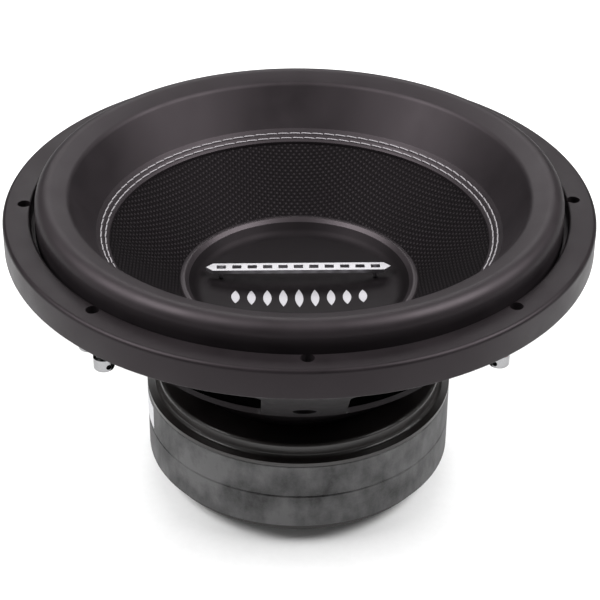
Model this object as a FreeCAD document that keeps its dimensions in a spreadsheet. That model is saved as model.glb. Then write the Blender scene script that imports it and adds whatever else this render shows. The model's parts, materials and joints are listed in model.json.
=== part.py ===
import FreeCAD, Part
import math
import os
from types import SimpleNamespace

import Sketcher
from FreeCAD import Placement, Rotation, Vector

# A 12-inch car subwoofer driver, lying on its magnet with the cone facing up.
# The origin is the centre of the mounting face (the flange's underside), +Z points out through the
# cone and the front mounting hole lies on -Y. All sizes are in millimetres.

OUT = "parts"
X_AXIS = Vector(1, 0, 0)
Y_AXIS = Vector(0, 1, 0)
Z_AXIS = Vector(0, 0, 1)

SIZES = {
    # trim ring and flange
    "ring_outer_radius": 159.0,
    "ring_inner_radius": 144.2,
    "ring_top": 17.0,
    "ring_edge_round": 1.6,
    "ring_skirt_bottom": 0.3,
    "flange_radius": 155.8,
    "flange_thickness": 7.0,
    "flange_inner_radius": 138.5,
    "bolt_circle_radius": 148.0,
    "bolt_hole_radius": 3.5,
    "surround_foot_gap": 0.3,
    "surround_pocket_radius": 152.5,
    # surround
    "surround_thickness": 1.8,
    "surround_foot_radius": 152.0,
    "surround_hole_radius": 3.8,
    "surround_wall_radius": 141.5,
    "surround_outer_corner_height": 32.9,
    "surround_inner_corner_radius": 123.5,
    "surround_inner_corner_height": 26.6,
    "surround_outer_round": 7.0,
    "surround_inner_round": 5.3,
    "surround_back_corner_radius": 124.7,
    "surround_back_corner_height": 25.1,
    "surround_back_outer_height": 30.35,
    "surround_knee_radius": 110.0,
    "surround_knee_height": 3.65,
    "surround_back_knee_radius": 111.7,
    "ledge_inner_radius": 103.0,
    "ledge_depth": 1.75,
    # cone: two straight slopes that meet under the dust cap
    "cone_rim_radius": 111.0,
    "cone_rim_height": 2.56,
    "cone_ledge_height": -3.31,
    "cone_back_knee_height": 3.08,
    "cone_bend_radius": 65.7,
    "cone_bend_height": -30.7,
    "cone_neck_radius": 39.2,
    "cone_neck_height": -53.0,
    "cone_wall_depth": 1.8,
    # seam threads
    "outer_seam_radius": 107.5,
    "outer_seam_height": 2.37,
    "inner_seam_radius": 105.1,
    "inner_seam_height": 0.58,
    "thread_radius": 0.45,
    # dust cap
    "cap_rim_radius": 66.0,
    "cap_rim_height": -30.46,
    "cap_rim_outer_crest_radius": 65.4,
    "cap_rim_outer_crest_height": -29.7,
    "cap_rim_crest_radius": 63.2,
    "cap_rim_crest_height": -29.3,
    "cap_rim_inner_radius": 60.6,
    "cap_rim_inner_height": -31.6,
    "cap_dish_radius": 56.0,
    "cap_dish_edge_height": -37.5,
    "cap_dish_middle_radius": 32.0,
    "cap_dish_middle_height": -40.2,
    "cap_dish_centre_height": -41.2,
    "cap_foot_radius": 56.6,
    "cap_foot_height": -38.3,
    "cap_edge_on_cone": -30.66,
    "cap_thickness": 1.2,
    # generic badge on pins
    "badge_length": 103.0,
    "badge_width": 7.4,
    "badge_thickness": 2.2,
    "badge_bottom": -34.2,
    "badge_offset": 12.8,
    "badge_slot_length": 5.2,
    "badge_slot_width": 3.4,
    "badge_slot_pitch": 8.6,
    "badge_slot_count": 11.0,
    "badge_pin_radius": 1.1,
    "badge_pin_spacing": 43.0,
    "badge_pin_foot": -38.6,
    # voice coil
    "former_inner_radius": 38.1,
    "former_outer_radius": 38.7,
    "former_top": -48.0,
    "former_bottom": -113.0,
    "winding_top": -71.5,
    "winding_bottom": -111.5,
    "winding_split_radius": 40.0,
    "winding_outer_radius": 41.2,
    "neck_ring_top": -49.6,
    "neck_ring_radius": 42.5,
    "neck_ring_edge_height": -50.22,
    # spider
    "spider_height": -58.5,
    "spider_thickness": 0.9,
    "spider_inner_radius": 38.9,
    "spider_collar_radius": 42.5,
    "spider_landing_radius": 80.5,
    "spider_outer_radius": 87.6,
    "spider_wave_height": 2.2,
    "spider_wave_pitch": 7.6,
    # basket
    "cup_wall_radius": 142.0,
    "cup_wall_bottom": -10.5,
    "cup_inner_wall_bottom": -9.05,
    "seat_outer_radius": 98.0,
    "seat_outer_height": -54.5,
    "seat_inner_radius": 88.25,
    "seat_top": -59.3,
    "seat_bottom": -61.9,
    "seat_foot_radius": 88.0,
    "neck_top_inner_radius": 78.0,
    "neck_top_outer_radius": 80.0,
    "neck_foot_inner_radius": 60.5,
    "neck_foot_outer_radius": 63.5,
    "foot_ring_top": -82.9,
    "neck_foot_height": -84.0,
    "foot_ring_inner_radius": 46.0,
    "spoke_width": 44.0,
    "spoke_count": 6.0,
    "window_inner_radius": 92.5,
    "window_outer_radius": 136.5,
    "window_corner_radius": 4.0,
    "spoke_hole_radius": 6.25,
    "spoke_hole_distance": 109.6,
    "spoke_hole_height": -42.9,
    "foot_screw_circle_radius": 55.0,
    "foot_screw_radius": 2.4,
    "foot_screw_hole_radius": 2.5,
    "foot_screw_head_radius": 4.2,
    "foot_screw_head_height": 3.0,
    "foot_screw_length": 11.0,
    # motor
    "gap_radius": 42.3,
    "top_plate_top": -86.4,
    "top_plate_radius": 80.0,
    "top_plate_step": -94.5,
    "top_plate_step_radius": 85.8,
    "top_plate_bottom": -96.7,
    "top_plate_round": 2.0,
    "magnet_inner_radius": 50.0,
    "magnet_radius": 85.8,
    "magnet_seam": -117.15,
    "magnet_bottom": -137.6,
    "magnet_chamfer": 0.7,
    "pole_radius": 37.3,
    "pole_top": -84.0,
    "pole_chamfer": 1.5,
    "vent_radius": 12.0,
    "back_plate_radius": 81.5,
    "back_plate_edge_bottom": -145.0,
    "back_plate_chamfer": 2.5,
    "bump_radius": 66.0,
    "bump_foot_radius": 61.0,
    "bump_bottom": -151.0,
    "screen_recess_radius": 20.0,
    "screen_recess_top": -149.4,
    "screen_radius": 19.8,
    "screen_thickness": 0.8,
    "screen_hole_radius": 1.6,
    "screen_hole_pitch": 5.2,
    "shorting_ring_inner_radius": 44.0,
    "shorting_ring_outer_radius": 49.6,
    "shorting_ring_top": -129.6,
    "label_angle": 34.0,
    "label_top": -99.5,
    "label_bottom": -114.5,
    "label_thickness": 0.15,
    # terminals: posts that hang upright from moulded blocks on the cup's outside
    "post_circle_radius": 122.0,
    "block_inner_distance": 112.0,
    "block_outer_distance": 127.0,
    "block_width": 31.0,
    "block_top": -26.0,
    "block_bottom": -35.5,
    "boss_radius": 3.0,
    "boss_hole_radius": 3.2,
    "boss_top": -21.2,
    "post_radius": 1.8,
    "post_hole_radius": 1.9,
    "post_top": -18.5,
    "post_bottom": -42.7,
    "post_wire_hole_height": -41.0,
    "post_wire_hole_radius": 1.1,
    "collar_flange_radius": 4.6,
    "collar_flange_bottom": -36.5,
    "collar_sleeve_radius": 3.6,
    "collar_bore_radius": 2.95,
    "collar_bottom": -39.6,
    "push_cap_top": -39.0,
    "push_cap_bottom": -46.3,
    "push_cap_radius": 5.6,
    "push_cap_bore_radius": 3.95,
    "push_cap_shoulder": -42.2,
    "push_cap_post_bore_radius": 2.15,
    "push_cap_floor": -45.2,
    "push_cap_wire_hole_height": -43.2,
    "push_cap_wire_hole_radius": 1.5,
    "push_cap_round": 1.2,
    "spring_radius": 2.4,
    "spring_wire_radius": 0.22,
    "spring_turns": 5.0,
    "spring_clearance": 0.3,
    "tab_inner_distance": 116.0,
    "tab_length": 9.2,
    "tab_bottom": -20.9,
    "tab_thickness": 0.8,
    "tab_width": 6.4,
    "block_screw_radius": 2.0,
    "block_screw_hole_radius": 2.1,
    "block_screw_head_radius": 3.8,
    "block_screw_head_height": 2.2,
    "block_screw_top": -22.0,
    # tinsel leads
    "lead_radius": 0.8,
    "lead_arc_radius": 67.4,
    "lead_flat_distance": 58.2,
    "lead_height": -55.0,
    "lead_end_distance": 40.1,
}

BOLT_COUNT = 8
FOOT_SCREW_COUNT = 6
# Azimuths are in degrees round from the front, positive to the right as seen from the front.
TERMINAL_SPOKES = (60.0, 300.0)
TERMINAL_SIDES = {"left": -63.7, "right": 63.7}
TERMINAL_POSTS = {"black": 4.9, "red": -4.9}
LABEL_START_AZIMUTH = -106.0
SPOKE_SLOPE = 45.0
SCREEN_HOLE_RINGS = 3
SCREEN_HOLES_MORE_EACH_RING = 6
EDGE_MATCH = 0.02
LEAD_ARC_ANGLE = 60.0


class Size:
    """A length that knows its value and the sheet expression that drives it."""

    def __init__(self, value, text):
        self.value = value
        self.text = text

    def __add__(self, other):
        other = as_size(other)
        return Size(self.value + other.value, f"({self.text} + {other.text})")

    def __sub__(self, other):
        other = as_size(other)
        return Size(self.value - other.value, f"({self.text} - {other.text})")

    def __mul__(self, factor):
        return Size(self.value * factor, f"({self.text} * {factor})")

    def __neg__(self):
        return Size(-self.value, f"(0 - {self.text})")


def as_size(number):
    """Wrap a plain number, so that it can be added to a size."""
    if isinstance(number, Size):
        return number
    return Size(float(number), str(number))


doc = FreeCAD.newDocument("subwoofer")
sheet = doc.addObject("Spreadsheet::Sheet", "sizes")
for row, (alias, amount) in enumerate(SIZES.items(), start=1):
    sheet.set(f"A{row}", alias)
    sheet.set(f"B{row}", str(amount))
    sheet.setAlias(f"B{row}", alias)
doc.recompute()
S = SimpleNamespace(**{alias: Size(amount, f"sizes.{alias}") for alias, amount in SIZES.items()})

nodes = {}


def keep(label, made):
    """Name a finished piece, so that it is checked and written to its own file."""
    made.Label = label
    nodes[label] = made
    return made


def drive(target, property_name, size):
    """Bind one property of an object to the size sheet."""
    target.setExpression(property_name, as_size(size).text)


def origin_plane(body, role):
    """The body's own reference plane, such as XZ_Plane."""
    return next(feature for feature in body.Origin.OriginFeatures if feature.Role == role)


def new_sketch(body, name, role):
    """An empty sketch on one of the body's own planes."""
    sketch = body.newObject("Sketcher::SketchObject", name)
    sketch.AttachmentSupport = [(origin_plane(body, role), "")]
    sketch.MapMode = "FlatFace"
    return sketch


def pin_point(sketch, geometry, point, across, up):
    """Hold one point of the sketch at its driven distances from the origin."""
    for kind, axis, distance in (("DistanceX", -2, across), ("DistanceY", -1, up)):
        if distance.value == 0:
            sketch.addConstraint(Sketcher.Constraint("PointOnObject", geometry, point, axis))
            continue
        number = sketch.addConstraint(
            Sketcher.Constraint(kind, -1, 1, geometry, point, distance.value)
        )
        drive(sketch, f"Constraints[{number}]", distance)


def draw_polygon(sketch, corners):
    """Draw a closed outline with every corner driven by the sheet."""
    corners = [(as_size(across), as_size(up)) for across, up in corners]
    count = len(corners)
    spots = [Vector(across.value, up.value, 0) for across, up in corners]
    for index in range(count):
        sketch.addGeometry(Part.LineSegment(spots[index], spots[(index + 1) % count]))
    for index in range(count):
        following = (index + 1) % count
        sketch.addConstraint(Sketcher.Constraint("Coincident", index, 2, following, 1))
    for index, (across, up) in enumerate(corners):
        pin_point(sketch, index, 1, across, up)


def draw_circle(sketch, across, up, radius):
    """Draw a circle with its centre and radius driven by the sheet."""
    across, up = as_size(across), as_size(up)
    number = sketch.addGeometry(Part.Circle(Vector(across.value, up.value, 0), Z_AXIS, radius.value))
    pin_point(sketch, number, 3, across, up)
    limit = sketch.addConstraint(Sketcher.Constraint("Radius", number, radius.value))
    drive(sketch, f"Constraints[{limit}]", radius)


def turned_body(name, outline):
    """A body turned round the Z axis from a (radius, height) outline."""
    body = doc.addObject("PartDesign::Body", name)
    sketch = new_sketch(body, f"{name}_outline", "XZ_Plane")
    draw_polygon(sketch, outline)
    turn = body.newObject("PartDesign::Revolution", f"{name}_turn")
    turn.Profile = sketch
    turn.ReferenceAxis = (sketch, ["V_Axis"])
    turn.Angle = 360
    sketch.Visibility = False
    body.Tip = turn
    doc.recompute()
    return body


def round_edges(body, name, radius, spots, kind="PartDesign::Fillet"):
    """Round or chamfer the circular edges that run through the given (radius, height) spots."""
    base = body.Tip
    chosen = []
    for across, up in spots:
        for number, edge in enumerate(base.Shape.Edges, start=1):
            if not isinstance(edge.Curve, Part.Circle):
                continue
            same_radius = abs(edge.Curve.Radius - across.value) < EDGE_MATCH
            same_height = abs(edge.Curve.Center.z - up.value) < EDGE_MATCH
            if same_radius and same_height:
                chosen.append(f"Edge{number}")
    if len(chosen) < len(spots):
        raise RuntimeError(f"{name}: found {len(chosen)} of {len(spots)} edges")
    feature = body.newObject(kind, name)
    feature.Base = (base, chosen)
    drive(feature, "Size" if kind.endswith("Chamfer") else "Radius", radius)
    body.Tip = feature
    doc.recompute()


def drill(body, name, across, up, radius, role="XY_Plane", count=1):
    """Drill through holes square to one of the body's planes, with copies round its Z axis."""
    volume = body.Shape.Volume
    sketch = new_sketch(body, f"{name}_circle", role)
    draw_circle(sketch, across, up, radius)
    pocket = body.newObject("PartDesign::Pocket", name)
    pocket.Profile = sketch
    pocket.Type = "ThroughAll"
    pocket.Midplane = True
    sketch.Visibility = False
    body.Tip = pocket
    doc.recompute()
    if count > 1:
        pattern = body.newObject("PartDesign::PolarPattern", f"{name}_ring")
        pattern.Originals = [pocket]
        pattern.Axis = (sketch, ["N_Axis"])
        pattern.Angle = 360
        pattern.Occurrences = count
        body.Tip = pattern
        doc.recompute()
    if body.Shape.Volume >= volume:
        raise RuntimeError(f"{name} cut nothing")


def primitive(kind, name, placement=None, **sizes):
    """A Part primitive with each of its sizes driven by the sheet."""
    solid = doc.addObject(kind, name)
    for property_name, size in sizes.items():
        drive(solid, property_name, size)
    if placement is not None:
        solid.Placement = placement
    doc.recompute()
    return solid


def tube(name, inner_radius, outer_radius, bottom, top):
    """A plain ring between two radii and two heights."""
    return turned_body(
        name, [(inner_radius, bottom), (outer_radius, bottom), (outer_radius, top), (inner_radius, top)]
    )


def joined(name, pieces):
    """One object made of several overlapping or separate pieces."""
    union = doc.addObject("Part::MultiFuse", name)
    union.Shapes = pieces
    doc.recompute()
    return union


def cut(name, base, tool):
    """The base with the tool taken away from it."""
    result = doc.addObject("Part::Cut", name)
    result.Base = base
    result.Tool = tool
    doc.recompute()
    if result.Shape.Volume >= base.Shape.Volume:
        raise RuntimeError(f"{name} cut nothing")
    return result


def feature_from(name, shape):
    """A feature whose shape comes straight from Part functions."""
    feature = doc.addObject("Part::Feature", name)
    feature.Shape = shape
    return feature


def coil_spring(radius, wire_radius, turns, length):
    """A coil spring up the Z axis: each half turn is half a torus, tilted to meet the next one."""
    rise = length / (2 * turns)
    halves = []
    for half in range(2 * turns):
        side = 1 if half % 2 == 0 else -1
        start = Vector(side * radius, 0, half * rise)
        end = Vector(-side * radius, 0, (half + 1) * rise)
        middle = (start + end) / 2
        turning_axis = (start - middle).cross(Y_AXIS * side)
        rim = Part.Circle(start, Y_AXIS, wire_radius)
        section = Part.Face(Part.Wire(rim.toShape()))
        halves.append(section.revolve(middle, turning_axis, 180))
    return halves[0].multiFuse(halves[1:])


def lead_shape():
    """A tinsel lead in the XZ plane: an arc that hangs from a solder tab, then a level run."""
    flat_start = Vector(SIZES["lead_flat_distance"], 0, SIZES["lead_height"])
    arc_centre = flat_start + Vector(0, 0, SIZES["lead_arc_radius"])
    turn = math.radians(LEAD_ARC_ANGLE)
    arc_start = arc_centre + Vector(math.sin(turn), 0, -math.cos(turn)) * SIZES["lead_arc_radius"]
    downhill = Vector(-math.cos(turn), 0, -math.sin(turn))
    rim = Part.Circle(arc_start, downhill, SIZES["lead_radius"])
    section = Part.Face(Part.Wire(rim.toShape()))
    hanging = section.revolve(arc_centre, Y_AXIS, LEAD_ARC_ANGLE)
    level_length = SIZES["lead_flat_distance"] - SIZES["lead_end_distance"]
    level = Part.makeCylinder(SIZES["lead_radius"], level_length, flat_start, -X_AXIS)
    return hanging.fuse(level)


def moved(shape, placement):
    """The same shape in another place."""
    there = shape.copy()
    there.Placement = placement * there.Placement
    return there


def spoke_turn(azimuth):
    """The turn that lays the X axis along the spoke at this azimuth, counted from the front."""
    return Placement(Vector(0, 0, 0), Rotation(Z_AXIS, azimuth - 90.0))


def standing_at(azimuth, distance, height=0):
    """The placement that stands a piece upright at this azimuth, distance and height."""
    return spoke_turn(azimuth) * Placement(Vector(distance, 0, height), Rotation())


# Trim ring and surround
foot_bottom = S.flange_thickness + S.surround_foot_gap
foot_top = foot_bottom + S.surround_thickness
pocket_top = foot_top + S.surround_foot_gap
trim_ring = turned_body(
    "trim_ring",
    [
        (S.ring_inner_radius, pocket_top),
        (S.surround_pocket_radius, pocket_top),
        (S.surround_pocket_radius, S.flange_thickness),
        (S.flange_radius, S.flange_thickness),
        (S.flange_radius, S.ring_skirt_bottom),
        (S.ring_outer_radius, S.ring_skirt_bottom),
        (S.ring_outer_radius, S.ring_top),
        (S.ring_inner_radius, S.ring_top),
    ],
)
round_edges(
    trim_ring,
    "trim_ring_rounds",
    S.ring_edge_round,
    [(S.ring_outer_radius, S.ring_top), (S.ring_inner_radius, S.ring_top)],
)
drill(trim_ring, "trim_ring_holes", 0, -S.bolt_circle_radius, S.bolt_hole_radius, count=BOLT_COUNT)
keep("trim_ring", trim_ring)

surround = turned_body(
    "surround",
    [
        (S.surround_foot_radius, foot_bottom),
        (S.surround_foot_radius, foot_top),
        (S.surround_wall_radius, foot_top),
        (S.surround_wall_radius, S.surround_outer_corner_height),
        (S.surround_inner_corner_radius, S.surround_inner_corner_height),
        (S.surround_knee_radius, S.surround_knee_height),
        (S.ledge_inner_radius, S.cone_ledge_height + S.ledge_depth),
        (S.ledge_inner_radius, S.cone_ledge_height),
        (S.surround_back_knee_radius, S.cone_back_knee_height),
        (S.surround_back_corner_radius, S.surround_back_corner_height),
        (S.surround_wall_radius - S.surround_thickness, S.surround_back_outer_height),
        (S.surround_wall_radius - S.surround_thickness, foot_bottom),
    ],
)
round_edges(
    surround,
    "surround_outer_roll",
    S.surround_outer_round,
    [(S.surround_wall_radius, S.surround_outer_corner_height)],
)
round_edges(
    surround,
    "surround_inner_roll",
    S.surround_inner_round,
    [(S.surround_inner_corner_radius, S.surround_inner_corner_height)],
)
round_edges(
    surround,
    "surround_outer_roll_back",
    S.surround_outer_round - S.surround_thickness,
    [(S.surround_wall_radius - S.surround_thickness, S.surround_back_outer_height)],
)
round_edges(
    surround,
    "surround_inner_roll_back",
    S.surround_inner_round - S.surround_thickness,
    [(S.surround_back_corner_radius, S.surround_back_corner_height)],
)
drill(surround, "surround_holes", 0, -S.bolt_circle_radius, S.surround_hole_radius, count=BOLT_COUNT)
keep("surround", surround)

# Cone, seam threads and dust cap
cone = turned_body(
    "cone",
    [
        (S.cone_rim_radius, S.cone_rim_height),
        (S.cone_bend_radius, S.cone_bend_height),
        (S.cone_neck_radius, S.cone_neck_height),
        (S.cone_neck_radius, S.cone_neck_height - S.cone_wall_depth),
        (S.cone_bend_radius, S.cone_bend_height - S.cone_wall_depth),
        (S.cone_rim_radius, S.cone_rim_height - S.cone_wall_depth),
    ],
)
keep("cone", cone)
for seam in ("outer", "inner"):
    seam_radius = getattr(S, f"{seam}_seam_radius")
    seam_height = getattr(S, f"{seam}_seam_height")
    thread = primitive("Part::Torus", f"{seam}_seam_thread", Radius1=seam_radius, Radius2=S.thread_radius)
    drive(thread, "Placement.Base.z", seam_height)
    doc.recompute()
    keep(f"{seam}_seam_thread", thread)

dust_cap = turned_body(
    "dust_cap",
    [
        (0, S.cap_dish_centre_height),
        (S.cap_dish_middle_radius, S.cap_dish_middle_height),
        (S.cap_dish_radius, S.cap_dish_edge_height),
        (S.cap_rim_inner_radius, S.cap_rim_inner_height),
        (S.cap_rim_crest_radius, S.cap_rim_crest_height),
        (S.cap_rim_outer_crest_radius, S.cap_rim_outer_crest_height),
        (S.cap_rim_radius, S.cap_rim_height),
        (S.cone_bend_radius, S.cap_edge_on_cone),
        (S.cap_foot_radius, S.cap_foot_height),
        (S.cap_dish_middle_radius, S.cap_dish_middle_height - S.cap_thickness),
        (0, S.cap_dish_centre_height - S.cap_thickness),
    ],
)
keep("dust_cap", dust_cap)

# Generic badge: a slotted bar on two pins, with no lettering
badge = doc.addObject("PartDesign::Body", "badge_bar")
badge_outline = new_sketch(badge, "badge_outline", "XY_Plane")
half_length = S.badge_length * 0.5
half_width = S.badge_width * 0.5
draw_polygon(
    badge_outline,
    [
        (-half_length, S.badge_offset),
        (-half_length + half_width, S.badge_offset - half_width),
        (half_length - half_width, S.badge_offset - half_width),
        (half_length, S.badge_offset),
        (half_length - half_width, S.badge_offset + half_width),
        (-half_length + half_width, S.badge_offset + half_width),
    ],
)
drive(badge_outline, "AttachmentOffset.Base.z", S.badge_bottom)
badge_pad = badge.newObject("PartDesign::Pad", "badge_pad")
badge_pad.Profile = badge_outline
drive(badge_pad, "Length", S.badge_thickness)
badge.Tip = badge_pad
doc.recompute()

slot_outline = new_sketch(badge, "badge_slot_outline", "XY_Plane")
slot_middle = S.badge_slot_pitch * (-(SIZES["badge_slot_count"] - 1) / 2)
slot_left = slot_middle - S.badge_slot_length * 0.5
slot_right = slot_middle + S.badge_slot_length * 0.5
slot_half_width = S.badge_slot_width * 0.5
draw_polygon(
    slot_outline,
    [
        (slot_left, S.badge_offset - slot_half_width),
        (slot_right, S.badge_offset - slot_half_width),
        (slot_right, S.badge_offset + slot_half_width),
        (slot_left, S.badge_offset + slot_half_width),
    ],
)
slot = badge.newObject("PartDesign::Pocket", "badge_slot")
slot.Profile = slot_outline
slot.Type = "ThroughAll"
slot.Midplane = True
badge.Tip = slot
doc.recompute()
slot_row = badge.newObject("PartDesign::LinearPattern", "badge_slot_row")
slot_row.Originals = [slot]
slot_row.Direction = (slot_outline, ["H_Axis"])
drive(slot_row, "Length", S.badge_slot_pitch * (SIZES["badge_slot_count"] - 1))
slot_row.Occurrences = int(SIZES["badge_slot_count"])
badge.Tip = slot_row
doc.recompute()
if badge.Shape.Volume >= slot.Shape.Volume:
    raise RuntimeError("the badge slots cut nothing")
keep("badge_bar", badge)

pins = []
for side, sign in (("left", -1), ("right", 1)):
    pin = primitive(
        "Part::Cylinder",
        f"badge_pin_{side}",
        Radius=S.badge_pin_radius,
        Height=S.badge_bottom - S.badge_pin_foot,
    )
    drive(pin, "Placement.Base.x", S.badge_pin_spacing * sign)
    drive(pin, "Placement.Base.y", S.badge_offset)
    drive(pin, "Placement.Base.z", S.badge_pin_foot)
    pins.append(pin)
keep("badge_pins", joined("badge_pins", pins))

# Voice coil, neck ring and spider
keep(
    "coil_former",
    tube("coil_former", S.former_inner_radius, S.former_outer_radius, S.former_bottom, S.former_top),
)
keep(
    "inner_winding",
    tube(
        "inner_winding",
        S.former_outer_radius,
        S.winding_split_radius,
        S.winding_bottom,
        S.winding_top,
    ),
)
keep(
    "outer_winding",
    tube(
        "outer_winding",
        S.winding_split_radius,
        S.winding_outer_radius,
        S.winding_bottom,
        S.winding_top,
    ),
)
neck_ring = turned_body(
    "neck_ring",
    [
        (S.former_outer_radius, S.neck_ring_top),
        (S.former_outer_radius, S.cone_neck_height),
        (S.cone_neck_radius, S.cone_neck_height),
        (S.neck_ring_radius, S.neck_ring_edge_height),
    ],
)
keep("neck_ring", neck_ring)

# The spider's cloth dips a quarter of the way along each wave and peaks at three quarters of it, so
# that its last fold stays clear of the seat's inner edge.
half_cloth = S.spider_thickness * 0.5
wave_line = [(S.spider_inner_radius, S.spider_height), (S.spider_collar_radius, S.spider_height)]
wavy_width = SIZES["spider_landing_radius"] - SIZES["spider_collar_radius"]
for wave in range(round(wavy_width / SIZES["spider_wave_pitch"])):
    for share, rise in ((0.25, -1), (0.75, 1)):
        wave_line.append(
            (
                S.spider_collar_radius + S.spider_wave_pitch * (wave + share),
                S.spider_height + S.spider_wave_height * rise,
            )
        )
wave_line.append((S.spider_landing_radius, S.spider_height))
wave_line.append((S.spider_outer_radius, S.spider_height))
spider = turned_body(
    "spider",
    [(radius, height + half_cloth) for radius, height in wave_line]
    + [(radius, height - half_cloth) for radius, height in reversed(wave_line)],
)
keep("spider", spider)

# Basket: a turned cup with windows, spoke holes and screw holes cut from it
cup = turned_body(
    "basket_cup",
    [
        (S.flange_radius, 0),
        (S.flange_radius, S.flange_thickness),
        (S.flange_inner_radius, S.flange_thickness),
        (S.flange_inner_radius, S.cup_inner_wall_bottom),
        (S.seat_inner_radius, S.seat_top),
        (S.neck_top_inner_radius, S.seat_top),
        (S.neck_foot_inner_radius, S.foot_ring_top),
        (S.foot_ring_inner_radius, S.foot_ring_top),
        (S.foot_ring_inner_radius, S.top_plate_top),
        (S.neck_foot_outer_radius, S.top_plate_top),
        (S.neck_foot_outer_radius, S.neck_foot_height),
        (S.neck_top_outer_radius, S.seat_bottom),
        (S.seat_foot_radius, S.seat_bottom),
        (S.seat_outer_radius, S.seat_outer_height),
        (S.cup_wall_radius, S.cup_wall_bottom),
        (S.cup_wall_radius, 0),
    ],
)
drill(cup, "flange_holes", 0, -S.bolt_circle_radius, S.bolt_hole_radius, count=BOLT_COUNT)
drill(
    cup,
    "foot_screw_holes",
    S.foot_screw_circle_radius,
    0,
    S.foot_screw_hole_radius,
    count=FOOT_SCREW_COUNT,
)

window_height = S.cup_wall_bottom * 0.5 - S.seat_bottom
window_tubes = []
for name, radius in (("window_outside", S.window_outer_radius), ("window_inside", S.window_inner_radius)):
    disc = primitive("Part::Cylinder", name, Radius=radius, Height=window_height)
    drive(disc, "Placement.Base.z", S.seat_bottom)
    window_tubes.append(disc)
window_ring = cut("window_ring", *window_tubes)
spoke_bars = []
spoke_step = 360.0 / SIZES["spoke_count"]
for bar in range(int(SIZES["spoke_count"]) // 2):
    box = primitive(
        "Part::Box",
        f"spoke_bar_{bar + 1}",
        Length=S.flange_radius * 2,
        Width=S.spoke_width,
        Height=window_height,
    )
    corner = Vector(-SIZES["flange_radius"], -SIZES["spoke_width"] / 2, SIZES["seat_bottom"])
    box.Placement = spoke_turn(bar * spoke_step) * Placement(corner, Rotation())
    spoke_bars.append(box)
window_sectors = cut("window_sectors", window_ring, joined("spoke_bars", spoke_bars))
windows = doc.addObject("Part::Fillet", "windows")
windows.Base = window_sectors
windows.Edges = [
    (number, SIZES["window_corner_radius"], SIZES["window_corner_radius"])
    for number, edge in enumerate(window_sectors.Shape.Edges, start=1)
    if isinstance(edge.Curve, Part.Line) and edge.Curve.Direction.cross(Z_AXIS).Length < EDGE_MATCH
]
doc.recompute()

# The spokes that carry no terminals have one round hole each, drilled square to their slope
holes = []
spoke_hole_middle = Vector(SIZES["spoke_hole_distance"], 0, SIZES["spoke_hole_height"])
square_to_spoke = Placement(spoke_hole_middle, Rotation(Y_AXIS, 180.0 - SPOKE_SLOPE))
for spoke in range(int(SIZES["spoke_count"])):
    azimuth = spoke * spoke_step
    if azimuth in TERMINAL_SPOKES:
        continue
    hole = primitive(
        "Part::Cylinder",
        f"spoke_hole_{spoke + 1}",
        Radius=S.spoke_hole_radius,
        Height=S.spoke_hole_radius * 3,
    )
    centred = Placement(Vector(0, 0, -hole.Height.Value / 2), Rotation())
    hole.Placement = spoke_turn(azimuth) * square_to_spoke * centred
    holes.append(hole)
for side, azimuth in TERMINAL_SIDES.items():
    drillings = [("screw", 0, S.block_screw_hole_radius)]
    drillings += [(colour, step, S.boss_hole_radius) for colour, step in TERMINAL_POSTS.items()]
    for purpose, step, radius in drillings:
        hole = primitive(
            "Part::Cylinder",
            f"{purpose}_hole_{side}",
            standing_at(azimuth + step, SIZES["post_circle_radius"], SIZES["block_bottom"]),
            Radius=radius,
            Height=S.boss_top - S.block_bottom,
        )
        holes.append(hole)
basket = cut("basket", cup, joined("basket_cuts", [windows] + holes))
keep("basket", basket)

# Motor
top_plate = turned_body(
    "top_plate",
    [
        (S.gap_radius, S.top_plate_top),
        (S.top_plate_radius, S.top_plate_top),
        (S.top_plate_radius, S.top_plate_step),
        (S.top_plate_step_radius, S.top_plate_step),
        (S.top_plate_step_radius, S.top_plate_bottom),
        (S.gap_radius, S.top_plate_bottom),
    ],
)
round_edges(
    top_plate,
    "top_plate_rounds",
    S.top_plate_round,
    [(S.top_plate_radius, S.top_plate_top), (S.top_plate_radius, S.top_plate_step)],
)
drill(
    top_plate,
    "top_plate_holes",
    S.foot_screw_circle_radius,
    0,
    S.foot_screw_hole_radius,
    count=FOOT_SCREW_COUNT,
)
keep("top_plate", top_plate)

magnet_faces = {
    "upper_magnet": (S.magnet_seam, S.top_plate_bottom),
    "lower_magnet": (S.magnet_bottom, S.magnet_seam),
}
for label, (bottom, top) in magnet_faces.items():
    magnet = tube(label, S.magnet_inner_radius, S.magnet_radius, bottom, top)
    round_edges(
        magnet,
        f"{label}_chamfers",
        S.magnet_chamfer,
        [(S.magnet_radius, bottom), (S.magnet_radius, top)],
        kind="PartDesign::Chamfer",
    )
    keep(label, magnet)

yoke = turned_body(
    "yoke",
    [
        (S.vent_radius, S.pole_top),
        (S.pole_radius, S.pole_top),
        (S.pole_radius, S.magnet_bottom),
        (S.back_plate_radius, S.magnet_bottom),
        (S.back_plate_radius, S.back_plate_edge_bottom),
        (S.bump_radius, S.back_plate_edge_bottom),
        (S.bump_foot_radius, S.bump_bottom),
        (S.screen_recess_radius, S.bump_bottom),
        (S.screen_recess_radius, S.screen_recess_top),
        (S.vent_radius, S.screen_recess_top),
    ],
)
round_edges(
    yoke,
    "pole_chamfer",
    S.pole_chamfer,
    [(S.pole_radius, S.pole_top)],
    kind="PartDesign::Chamfer",
)
round_edges(
    yoke,
    "back_plate_chamfer",
    S.back_plate_chamfer,
    [(S.back_plate_radius, S.back_plate_edge_bottom)],
    kind="PartDesign::Chamfer",
)
keep("yoke", yoke)
keep(
    "shorting_ring",
    tube(
        "shorting_ring",
        S.shorting_ring_inner_radius,
        S.shorting_ring_outer_radius,
        S.magnet_bottom,
        S.shorting_ring_top,
    ),
)

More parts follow.
